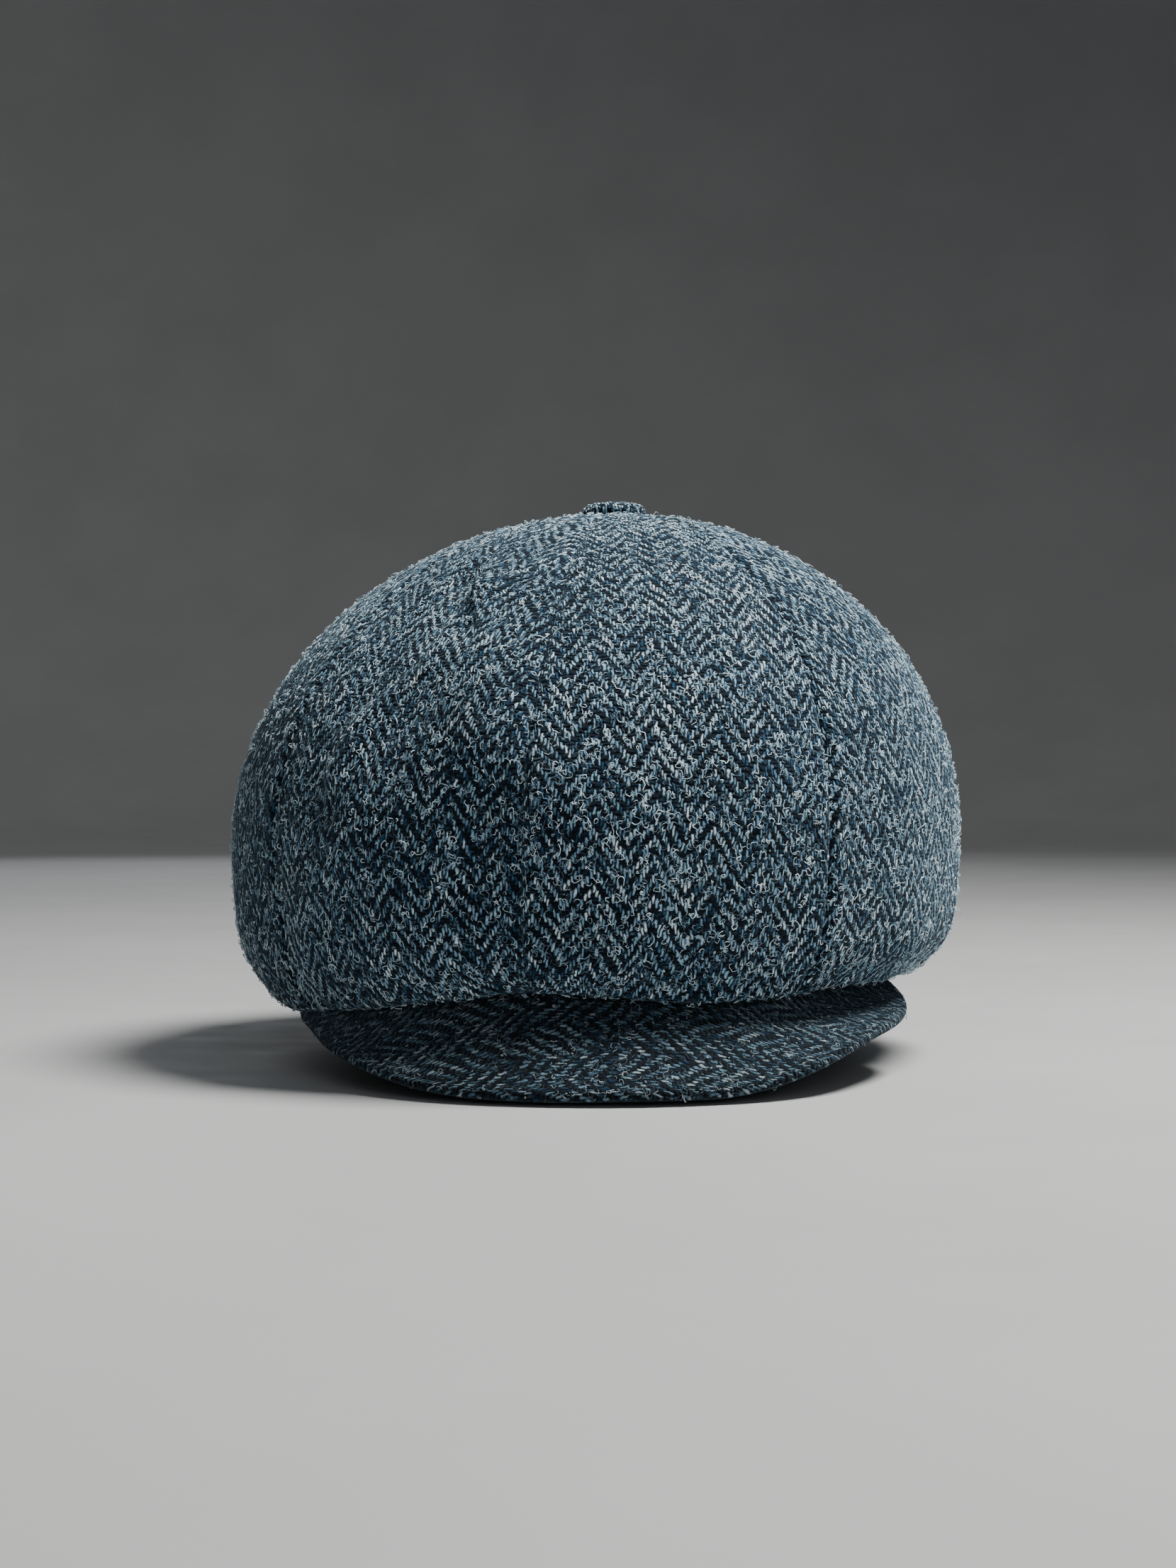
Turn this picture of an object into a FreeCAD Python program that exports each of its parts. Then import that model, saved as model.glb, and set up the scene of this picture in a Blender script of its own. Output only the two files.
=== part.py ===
"""Newsboy cap: eight-gore tweed crown with a folded lip, lined, on a stiffened head band with a visor.

Frame: millimetres, +Z up, -Y to the front, origin at the centre of the head opening in the plane of the
band's lower edge.
"""
import math
import os

import FreeCAD
import Part
import Sketcher

Vector = FreeCAD.Vector
os.makedirs("parts", exist_ok=True)
doc = FreeCAD.newDocument("newsboy_cap")

# ---------------------------------------------------------------- driving dimensions (mm, degrees)

sheet = doc.addObject("Spreadsheet::Sheet", "sizes")
DIMENSIONS = {
    # head opening, an oval of 58 cm round
    "head_half_width": 82.5,
    "head_half_depth": 101.5,
    # head band, from the skin side outwards
    "band_height": 30,
    "sweatband_thick": 1.2,
    "sweatband_low": 0.5,
    "stiffener_thick": 0.8,
    "stiffener_margin": 2,
    "layer_gap": 0.1,
    "band_thick": 1.8,
    # crown bag
    "gore_count": 8,
    "cloth_thick": 1.6,
    "crown_top": 150,
    "belly_level": 37,
    "belly_half_width": 130.5,
    "belly_half_depth": 139,
    "dome_fullness": 2.0,
    "belly_fullness": 2.6,
    "fold_fullness": 1.35,
    "lip_half_width": 111,
    "lip_half_depth": 126.5,
    "lip_front": -15.5,
    "lip_side_drop": 3,
    "lip_back_drop": 3,
    "lip_roll": 3.3,
    "crown_lean": 7.5,
    "crown_turn": -11.5,
    "seam_half_gap": 0.08,
    # lining bag
    "lining_thick": 0.6,
    "lining_top": 140,
    "lining_level": 46,
    "lining_half_width": 122,
    "lining_half_depth": 129,
    "lining_foot": 31,
    "lining_inset": 1.6,
    # visor
    "visor_reach": 56,
    "visor_side_reach": 22,
    "visor_end_reach": 6,
    "visor_full_angle": 14,
    "visor_short_angle": 88,
    "visor_half_angle": 74,
    "visor_slope": 41,
    "visor_root_gap": 0.6,
    "visor_root_level": -5,
    "board_thick": 2,
    "board_inset": 3.5,
    "visor_cloth_thick": 1.2,
    # covered button
    "button_radius": 11.5,
    "button_height": 5,
    "button_round": 3.4,
    "button_cloth": 0.8,
    "button_lift": 0.15,
    "shell_wall": 0.6,
    "button_back_radius": 8.5,
    "button_back_thick": 0.8,
    "shank_radius": 1.6,
    "shank_length": 7,
    # labels
    "label_width": 50,
    "label_depth": 30,
    "label_thick": 0.5,
    "label_drop": 4.6,
    "tab_width": 12,
    "tab_height": 10,
    "tab_level": 8,
}
for row, (alias, value) in enumerate(DIMENSIONS.items(), start=1):
    sheet.set(f"A{row}", alias)
    sheet.set(f"B{row}", str(value))
    sheet.setAlias(f"B{row}", alias)
doc.recompute()


def size(alias):
    """The sheet's number for one alias."""
    return float(getattr(sheet, alias))


def bind(item, **expressions):
    """Bind properties of one object to expressions of the sheet's cells."""
    for name, text in expressions.items():
        item.setExpression(name.replace("__", "."), text)


# Offsets of the band's layers from the head oval, as sheet expressions.
SWEATBAND_OUT = "sizes.sweatband_thick"
STIFFENER_IN = f"{SWEATBAND_OUT} + sizes.layer_gap"
STIFFENER_OUT = f"{STIFFENER_IN} + sizes.stiffener_thick"
BAND_IN = f"{STIFFENER_OUT} + sizes.layer_gap"
BAND_OUT = f"{BAND_IN} + sizes.band_thick"
band_offset = size("sweatband_thick") + size("stiffener_thick") + size("band_thick") + 2 * size("layer_gap")
band_half_width = size("head_half_width") + band_offset
band_half_depth = size("head_half_depth") + band_offset

subparts = []


def keep(item, label):
    """Register one finished sub-part under its own label."""
    item.Label = label
    subparts.append(item)
    return item


# ---------------------------------------------------------------- oval rings of the head band

def oval_ring(label, inner, outer, low, height):
    """An upright oval ring between two offsets of the head oval."""
    tubes = []
    for side, offset in (("outer", outer), ("inner", inner)):
        oval = doc.addObject("Part::Ellipse", f"{label}_{side}_oval")
        bind(oval, MajorRadius=f"sizes.head_half_depth + {offset}",
             MinorRadius=f"sizes.head_half_width + {offset}", Placement__Base__z=low)
        oval.Placement = FreeCAD.Placement(Vector(0, 0, 0), FreeCAD.Rotation(Vector(0, 0, 1), 90))
        tube = doc.addObject("Part::Extrusion", f"{label}_{side}_tube")
        tube.Base = oval
        tube.DirMode = "Custom"
        tube.Dir = Vector(0, 0, 1)
        tube.Solid = True
        bind(tube, LengthFwd=height)
        tubes.append(tube)
    ring = doc.addObject("Part::Cut", label)
    ring.Base, ring.Tool = tubes
    return keep(ring, label)


oval_ring("sweatband", "0", SWEATBAND_OUT, "sizes.sweatband_low", "sizes.band_height - sizes.sweatband_low")
oval_ring("band_stiffener", STIFFENER_IN, STIFFENER_OUT, "sizes.stiffener_margin",
          "sizes.band_height - 2 * sizes.stiffener_margin")
oval_ring("head_band", BAND_IN, BAND_OUT, "0", "sizes.band_height")


# ---------------------------------------------------------------- soft skins between two surfaces

def point_grid(point, across, along):
    """Grid of points of a surface given as a function of two parameters."""
    return [[point(p, q) for q in along] for p in across]


def offset_point(point, p, q, distance, step=1e-3):
    """Point of the surface moved along its normal."""
    tangent_p = point(p + step, q) - point(p - step, q)
    tangent_q = point(p, q + step) - point(p, q - step)
    normal = tangent_p.cross(tangent_q)
    normal.normalize()
    return point(p, q) + normal * distance


def interpolated(grid):
    """B-spline surface through a grid of points."""
    surface = Part.BSplineSurface()
    surface.interpolate(grid)
    return surface


def border(surface, side):
    """One of the four border curves of a surface, as an edge."""
    first_u, last_u, first_v, last_v = surface.bounds()
    curves = {
        "first_u": lambda: surface.uIso(first_u),
        "last_u": lambda: surface.uIso(last_u),
        "first_v": lambda: surface.vIso(first_v),
        "last_v": lambda: surface.vIso(last_v),
    }
    return curves[side]().toShape()


def skin_solid(near_grid, far_grid):
    """Closed solid between two surfaces, with ruled sides along their four borders."""
    near = interpolated(near_grid)
    far = interpolated(far_grid)
    faces = [near.toShape(), far.toShape()]
    for side in ("first_u", "last_u", "first_v", "last_v"):
        faces.append(Part.makeRuledSurface(border(near, side), border(far, side), 1))
    joined = Part.makeCompound(faces)
    joined.sewShape()
    solid = Part.makeSolid(joined.Shells[0])
    if solid.Volume < 0:
        solid.reverse()
    return solid


def spread(first, last, count):
    """Evenly spaced numbers from first to last."""
    return [first + (last - first) * k / (count - 1) for k in range(count)]


def even_runs(point, azimuth, first, last, count):
    """Values of the second parameter that divide one meridian into equal lengths."""
    fine = spread(first, last, 60 * count)
    lengths = [0.0]
    for here, there in zip(fine, fine[1:]):
        lengths.append(lengths[-1] + (point(azimuth, there) - point(azimuth, here)).Length)
    marks = spread(0, lengths[-1], count)
    return [fine[min(range(len(fine)), key=lambda k: abs(lengths[k] - mark))] for mark in marks]


def smooth_step(low, high, value):
    """0 below low, 1 above high, with a smooth rise between them."""
    share = min(max((value - low) / (high - low), 0.0), 1.0)
    return share * share * (3 - 2 * share)


def from_front(azimuth):
    """Angle between an azimuth and the front, 0 to 180 degrees."""
    return abs((azimuth + 180) % 360 - 180)


def lean(level):
    """Sideways shift of the soft bag at one height above the band: it leans a little to +X."""
    share = (level - size("band_height")) / (size("crown_top") - size("band_height"))
    return size("crown_lean") * max(share, 0.0) ** 1.1


def oval_point(half_width, half_depth, azimuth, level):
    """Point of a level oval, azimuth counted from the front towards +X."""
    angle = math.radians(azimuth)
    return Vector(half_width * math.sin(angle) + lean(level), -half_depth * math.cos(angle), level)


def quarter(share, fullness):
    """Sine and cosine sides of a quarter superellipse."""
    angle = math.radians(90 * share)
    power = 2 / fullness
    return max(math.sin(angle), 0.0) ** power, max(math.cos(angle), 0.0) ** power


# ---------------------------------------------------------------- crown gores

def lip_level(azimuth):
    """Lowest level of the folded lip: it lies over the visor in front and hangs lower to -X and behind."""
    angle = math.radians(azimuth)
    side = size("lip_side_drop") * math.sin(angle) ** 2
    back = size("lip_back_drop") * smooth_step(90, 175, from_front(azimuth))
    return size("lip_front") - side - back + size("lip_roll") * math.sin(angle)


def crown_point(azimuth, run):
    """Outer face of the crown. run is 0 at the button, 1 at the belly, 2 at the lip and 3 at the band seam."""
    turned = azimuth + size("crown_turn") * smooth_step(3.0, 2.0, run)
    if run <= 1:
        out, up = quarter(run, size("dome_fullness"))
        level = size("belly_level") + (size("crown_top") - size("belly_level")) * up
        return oval_point(size("belly_half_width") * out, size("belly_half_depth") * out, turned, level)
    low = lip_level(turned)
    if run <= 2:
        down, out = quarter(run - 1, size("belly_fullness"))
        level = size("belly_level") - (size("belly_level") - low) * down
        return oval_point(size("lip_half_width") + (size("belly_half_width") - size("lip_half_width")) * out,
                          size("lip_half_depth") + (size("belly_half_depth") - size("lip_half_depth")) * out,
                          turned, level)
    inward, hang = quarter(min(run, 3) - 2, size("fold_fullness"))
    seam_level = size("band_height") - 2
    seam_gap = 0.7
    level = seam_level - (seam_level - low) * hang
    return oval_point(size("lip_half_width") + (band_half_width + seam_gap - size("lip_half_width")) * inward,
                      size("lip_half_depth") + (band_half_depth + seam_gap - size("lip_half_depth")) * inward,
                      turned, level)


CROWN_RUNS = even_runs(crown_point, 90, 0.035, 2.95, 46)
gore_angle = 360 / size("gore_count")
for number in range(int(size("gore_count"))):
    azimuths = spread(number * gore_angle + size("seam_half_gap"),
                      (number + 1) * gore_angle - size("seam_half_gap"), 7)
    outside = point_grid(crown_point, azimuths, CROWN_RUNS)
    inside = [[offset_point(crown_point, p, q, size("cloth_thick")) for q in CROWN_RUNS] for p in azimuths]
    gore = doc.addObject("Part::Feature", f"crown_gore_{number + 1}")
    gore.Shape = skin_solid(outside, inside)
    gore.Placement = FreeCAD.Placement()
    keep(gore, f"crown_gore_{number + 1}")


# ---------------------------------------------------------------- lining gores

def lining_point(azimuth, run):
    """Outer face of the lining. run is 0 at the top, 1 at its widest level and 2 at its foot on the band."""
    if run <= 1:
        out, up = quarter(run, size("dome_fullness"))
        level = size("lining_level") + (size("lining_top") - size("lining_level")) * up
        return oval_point(size("lining_half_width") * out, size("lining_half_depth") * out, azimuth, level)
    down, out = quarter(run - 1, 2)
    level = size("lining_level") - (size("lining_level") - size("lining_foot")) * down
    foot_half_width = size("head_half_width") + size("lining_inset")
    foot_half_depth = size("head_half_depth") + size("lining_inset")
    return oval_point(foot_half_width + (size("lining_half_width") - foot_half_width) * out,
                      foot_half_depth + (size("lining_half_depth") - foot_half_depth) * out, azimuth, level)


LINING_RUNS = even_runs(lining_point, 90, 0.03, 1.95, 26)
for number in range(int(size("gore_count"))):
    azimuths = spread(number * gore_angle + size("seam_half_gap"),
                      (number + 1) * gore_angle - size("seam_half_gap"), 6)
    outside = point_grid(lining_point, azimuths, LINING_RUNS)
    inside = [[offset_point(lining_point, p, q, size("lining_thick")) for q in LINING_RUNS] for p in azimuths]
    gore = doc.addObject("Part::Feature", f"lining_gore_{number + 1}")
    gore.Shape = skin_solid(outside, inside)
    gore.Placement = FreeCAD.Placement()
    keep(gore, f"lining_gore_{number + 1}")


# ---------------------------------------------------------------- visor

def visor_reach(azimuth):
    """Length of the visor along its slope: full in front, short at the sides, rounded off at the ends."""
    side = size("visor_side_reach")
    fullness = smooth_step(size("visor_short_angle"), size("visor_full_angle"), abs(azimuth))
    body = side + (size("visor_reach") - side) * fullness
    rounding = math.sqrt(1 - (azimuth / size("visor_half_angle")) ** 12)
    return size("visor_end_reach") + (body - size("visor_end_reach")) * rounding


def visor_layer(inset, lowest, highest):
    """One layer of the visor between two offsets from its middle surface, inset from edge and ends."""
    half_angle = size("visor_half_angle") - inset / 2
    slope = math.radians(size("visor_slope"))
    root_half_width = band_half_width + size("visor_root_gap")
    root_half_depth = band_half_depth + size("visor_root_gap")

    def middle(azimuth, share):
        angle = math.radians(azimuth)
        outward = Vector(math.sin(angle) / root_half_width, -math.cos(angle) / root_half_depth, 0)
        outward.normalize()
        reach = visor_reach(azimuth) - inset
        root = Vector(root_half_width * math.sin(angle), -root_half_depth * math.cos(angle),
                      size("visor_root_level"))
        distance = inset / 2 + (reach - inset / 2) * share
        return root + outward * (distance * math.cos(slope)) - Vector(0, 0, distance * math.sin(slope))

    def shifted(azimuth, share, offset):
        angle = math.radians(azimuth)
        up_and_out = Vector(math.sin(angle) / root_half_width, -math.cos(angle) / root_half_depth, 0)
        up_and_out.normalize()
        up_and_out = up_and_out * math.sin(slope) + Vector(0, 0, math.cos(slope))
        return middle(azimuth, share) + up_and_out * offset

    azimuths = spread(-half_angle, half_angle, 23)
    shares = spread(0, 1, 5)
    low_grid = [[shifted(a, s, lowest) for s in shares] for a in azimuths]
    high_grid = [[shifted(a, s, highest) for s in shares] for a in azimuths]
    return skin_solid(low_grid, high_grid)


half_board = size("board_thick") / 2
cover_near = half_board + size("layer_gap")
cover_far = cover_near + size("visor_cloth_thick")
VISOR_LAYERS = {
    "visor_board": (size("board_inset"), -half_board, half_board),
    "visor_top_cover": (0, cover_near, cover_far),
    "visor_under_cover": (0, -cover_far, -cover_near),
}
for name, (inset, lowest, highest) in VISOR_LAYERS.items():
    layer = doc.addObject("Part::Feature", name)
    layer.Shape = visor_layer(inset, lowest, highest)
    layer.Placement = FreeCAD.Placement()
    keep(layer, name)


# ---------------------------------------------------------------- covered button on top

def origin_plane(body, role):
    """One of a body's own origin planes."""
    return next(item for item in body.Origin.OriginFeatures if item.Role == role)


def disc_sketch(body, name, radius):
    """A circle on the body's XY plane, its radius bound to the sheet."""
    sketch = body.newObject("Sketcher::SketchObject", name)
    sketch.AttachmentSupport = [(origin_plane(body, "XY_Plane"), "")]
    sketch.MapMode = "FlatFace"
    sketch.addGeometry(Part.Circle(Vector(0, 0, 0), Vector(0, 0, 1), 5), False)
    sketch.addConstraint(Sketcher.Constraint("Coincident", 0, 3, -1, 1))
    sketch.addConstraint(Sketcher.Constraint("Radius", 0, 5))
    sketch.renameConstraint(1, "radius")
    sketch.setExpression("Constraints.radius", radius)
    return sketch


def turned_disc(label, radius, height, base, rounding=None, wall=None):
    """A round piece on the button's axis, rounded on top and hollowed from below to a wall if asked."""
    body = doc.addObject("PartDesign::Body", label)
    pad = body.newObject("PartDesign::Pad", f"{label}_disc")
    pad.Profile = disc_sketch(body, f"{label}_outline", radius)
    bind(pad, Length=height)
    doc.recompute()
    feature = pad
    if rounding:
        edges = feature.Shape.Edges
        top = max(range(len(edges)), key=lambda k: edges[k].BoundBox.ZMin)
        rounded = body.newObject("PartDesign::Fillet", f"{label}_rounding")
        rounded.Base = (feature, [f"Edge{top + 1}"])
        bind(rounded, Radius=rounding)
        doc.recompute()
        feature = rounded
    if wall:
        faces = feature.Shape.Faces
        underside = min(range(len(faces)), key=lambda k: faces[k].BoundBox.ZMax)
        hollowed = body.newObject("PartDesign::Thickness", f"{label}_hollow")
        hollowed.Base = (feature, [f"Face{underside + 1}"])
        hollowed.Reversed = True
        bind(hollowed, Value=wall)
        doc.recompute()
    bind(body, Placement__Base__x="sizes.crown_lean", Placement__Base__z=base)
    return keep(body, label)


BUTTON_BASE = "sizes.crown_top + sizes.button_lift"
SHELL_RADIUS = "sizes.button_radius - sizes.button_cloth - sizes.layer_gap"
SHELL_HEIGHT = "sizes.button_height - sizes.button_cloth - 2 * sizes.layer_gap"
turned_disc("button_cover", "sizes.button_radius", "sizes.button_height", BUTTON_BASE,
            rounding="sizes.button_round", wall="sizes.button_cloth")
turned_disc("button_shell", SHELL_RADIUS, SHELL_HEIGHT, f"{BUTTON_BASE} + sizes.layer_gap",
            rounding="sizes.button_round - sizes.button_cloth", wall="sizes.shell_wall")
turned_disc("button_back", "sizes.button_back_radius", "sizes.button_back_thick",
            f"{BUTTON_BASE} + 2 * sizes.layer_gap")
turned_disc("button_shank", "sizes.shank_radius", "sizes.shank_length", f"{BUTTON_BASE} - sizes.shank_length")


# ---------------------------------------------------------------- blank labels inside

label = doc.addObject("Part::Box", "lining_label")
bind(label, Length="sizes.label_width", Width="sizes.label_depth", Height="sizes.label_thick",
     Placement__Base__x="sizes.crown_lean - sizes.label_width / 2",
     Placement__Base__y="-sizes.label_depth / 2",
     Placement__Base__z="sizes.lining_top - sizes.label_drop")
keep(label, "lining_label")

tab = doc.addObject("Part::Box", "size_tab")
bind(tab, Length="sizes.tab_width", Width="sizes.label_thick", Height="sizes.tab_height",
     Placement__Base__x="-sizes.tab_width / 2",
     Placement__Base__y="sizes.head_half_depth - 2 * sizes.label_thick",
     Placement__Base__z="sizes.tab_level")
keep(tab, "size_tab")


# ---------------------------------------------------------------- checks and STEP files

doc.recompute()
for item in doc.Objects:
    if "Invalid" in item.State or "Error" in item.State:
        raise RuntimeError(f"{item.Label} did not build: {item.State}")
for item in subparts:
    if item.Shape.isNull() or not item.Shape.isValid():
        raise RuntimeError(f"{item.Label} has no valid shape")
    print(f"{item.Label}: {item.Shape.Volume / 1000:.2f} cm3, {len(item.Shape.Solids)} solid")
for item in subparts:
    item.Shape.exportStep(f"parts/{item.Label}.step")
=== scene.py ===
import math

import bmesh
import bpy
import numpy as np
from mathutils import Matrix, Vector, noise


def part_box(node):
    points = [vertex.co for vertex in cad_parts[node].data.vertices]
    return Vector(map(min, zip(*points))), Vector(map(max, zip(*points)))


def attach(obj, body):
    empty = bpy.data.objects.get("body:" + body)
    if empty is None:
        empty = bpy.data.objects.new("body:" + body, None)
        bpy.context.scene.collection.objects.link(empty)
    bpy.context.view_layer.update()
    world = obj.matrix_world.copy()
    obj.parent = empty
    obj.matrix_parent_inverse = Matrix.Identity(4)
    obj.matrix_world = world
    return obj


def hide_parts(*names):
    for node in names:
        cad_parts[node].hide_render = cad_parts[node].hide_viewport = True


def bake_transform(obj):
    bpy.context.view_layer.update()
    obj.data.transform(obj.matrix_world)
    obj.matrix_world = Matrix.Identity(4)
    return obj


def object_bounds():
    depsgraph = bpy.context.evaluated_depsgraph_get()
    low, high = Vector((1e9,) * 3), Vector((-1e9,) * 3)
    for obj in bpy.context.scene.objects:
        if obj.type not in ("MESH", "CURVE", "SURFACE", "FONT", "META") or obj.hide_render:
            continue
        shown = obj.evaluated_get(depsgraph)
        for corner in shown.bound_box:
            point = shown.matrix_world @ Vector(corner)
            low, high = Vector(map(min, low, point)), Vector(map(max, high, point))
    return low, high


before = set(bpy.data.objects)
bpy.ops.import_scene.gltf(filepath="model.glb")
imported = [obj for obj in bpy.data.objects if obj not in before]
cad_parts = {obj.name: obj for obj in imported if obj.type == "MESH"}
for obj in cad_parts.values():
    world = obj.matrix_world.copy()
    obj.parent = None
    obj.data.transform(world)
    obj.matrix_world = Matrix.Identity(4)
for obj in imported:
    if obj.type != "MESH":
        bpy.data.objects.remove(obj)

cad_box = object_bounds()

MM = 0.001
GORES = 8
GORE_ANGLE = 360 / GORES

# ---------------------------------------------------------------- sizes, from the frame and the cap's pattern

band_low, band_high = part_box("head_band")
sweat_low, sweat_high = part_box("sweatband")
button_low, button_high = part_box("button_cover")
lining_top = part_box("lining_gore_1")[1].z

BAND_HALF = np.array([band_high.x, band_high.y])
HEAD_HALF = BAND_HALF - 4.0 * MM
BAND_TOP = band_high.z
CROWN_TOP = 150 * MM
BELLY_LEVEL = 37 * MM
BELLY_HALF = np.array([130.5, 139]) * MM
LIP_HALF = np.array([111, 126.5]) * MM
LIP_FRONT = -15.5 * MM
LIP_SIDE_DROP = 3 * MM
LIP_BACK_DROP = 3 * MM
LIP_ROLL = 3.3 * MM
CROWN_LEAN = 7.5 * MM
CROWN_TURN = -11.5
TWEED = 1.4 * MM

LINING_LEVEL = 46 * MM
LINING_HALF = np.array([122, 129]) * MM
LINING_FOOT = 31 * MM
LINING_FOOT_HALF = HEAD_HALF + 1.6 * MM

VISOR_REACH = 56 * MM
VISOR_SIDE_REACH = 22 * MM
VISOR_END_REACH = 6 * MM
VISOR_HALF_ANGLE = 74
VISOR_SLOPE = math.radians(41)
VISOR_ROOT_HALF = BAND_HALF + 0.6 * MM
VISOR_ROOT_LEVEL = -5 * MM

random = np.random.default_rng(7)


# ---------------------------------------------------------------- small helpers

def smooth_step(low, high, value):
    """0 at low, 1 at high, with a smooth rise between."""
    share = np.clip((value - low) / (high - low), 0.0, 1.0)
    return share * share * (3 - 2 * share)


def bump(distance, width):
    """A bell of height 1 and the given half width."""
    return np.exp(-(distance / width) ** 2)


def soft_noise(points, wavelength, seed):
    """Smooth noise of about -1 to 1 at each point of an (..., 3) array."""
    flat = points.reshape(-1, 3) / wavelength + seed * 17.3
    values = [noise.noise(Vector(p)) for p in flat]
    return np.array(values).reshape(points.shape[:-1])


def unit(vectors):
    return vectors / np.maximum(np.linalg.norm(vectors, axis=-1, keepdims=True), 1e-12)


def grid_normals(points, closed):
    """Normals of a grid whose first axis goes across and second along; closed joins the first axis."""
    if closed:
        across = np.roll(points, -1, 0) - np.roll(points, 1, 0)
    else:
        across = np.gradient(points, axis=0)
    along = np.gradient(points, axis=1)
    return unit(np.cross(along, across))


def upright(normals, sample):
    """The normals, turned round where the sampled z values say that they point down."""
    return -normals if sample.mean() < 0 else normals


def even_runs(point, azimuth, first, last, count):
    """Values of the surface's second parameter at equal lengths along one meridian, and those lengths."""
    fine = np.linspace(first, last, 4000)
    line = point(np.full_like(fine, azimuth), fine)
    length = np.concatenate([[0], np.cumsum(np.linalg.norm(np.diff(line, axis=0), axis=1))])
    return np.interp(np.linspace(0, length[-1], count), length, fine)


def seamward(count):
    """Shares 0 to 1 across a gore, closer together near its two seams."""
    even = np.linspace(0, 1, count)
    return 0.35 * even + 0.65 * (0.5 - 0.5 * np.cos(math.pi * even))


def new_piece(name, mesh, material, body, nodes=()):
    """Link a mesh as a piece that rides on a body and stands for CAD nodes."""
    piece = bpy.data.objects.new(name, mesh)
    bpy.context.scene.collection.objects.link(piece)
    mesh.materials.append(material)
    if body:
        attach(piece, body)
    if nodes:
        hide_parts(*nodes)
    return piece


def shell_mesh(name, outer, inner, uv, closed=False):
    """Closed mesh between two grids of points, with faces along the open borders. uv is per outer point."""
    rows, columns = outer.shape[:2]
    count = rows * columns
    index = np.arange(count).reshape(rows, columns)
    across = np.arange(rows if closed else rows - 1)
    here, there = across, (across + 1) % rows
    quads = np.stack([index[here][:, :-1], index[here][:, 1:], index[there][:, 1:], index[there][:, :-1]], -1)
    faces = [quads.reshape(-1, 4), quads.reshape(-1, 4)[:, ::-1] + count]
    for column, flip in ((0, False), (columns - 1, True)):
        a, b = index[here][:, column], index[there][:, column]
        strip = np.stack([a, b, b + count, a + count], -1)
        faces.append(strip[:, ::-1] if flip else strip)
    if not closed:
        for row, flip in ((0, True), (rows - 1, False)):
            a, b = index[row, :-1], index[row, 1:]
            strip = np.stack([a, b, b + count, a + count], -1)
            faces.append(strip[:, ::-1] if flip else strip)
    faces = np.concatenate(faces)
    vertices = np.concatenate([outer.reshape(-1, 3), inner.reshape(-1, 3)])
    mesh = bpy.data.meshes.new(name)
    mesh.from_pydata(vertices.tolist(), [], faces.tolist())
    layer = mesh.uv_layers.new(name="Weave")
    both = np.concatenate([uv.reshape(-1, 2), uv.reshape(-1, 2)])
    corners = np.empty(len(mesh.loops), np.int32)
    mesh.loops.foreach_get("vertex_index", corners)
    layer.data.foreach_set("uv", both[corners].astype(np.float32).ravel())
    mesh.polygons.foreach_set("use_smooth", np.ones(len(mesh.polygons), bool))
    mesh.validate()
    work = bmesh.new()
    work.from_mesh(mesh)
    bmesh.ops.recalc_face_normals(work, faces=work.faces)
    work.to_mesh(mesh)
    work.free()
    return mesh


# ---------------------------------------------------------------- materials

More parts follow.
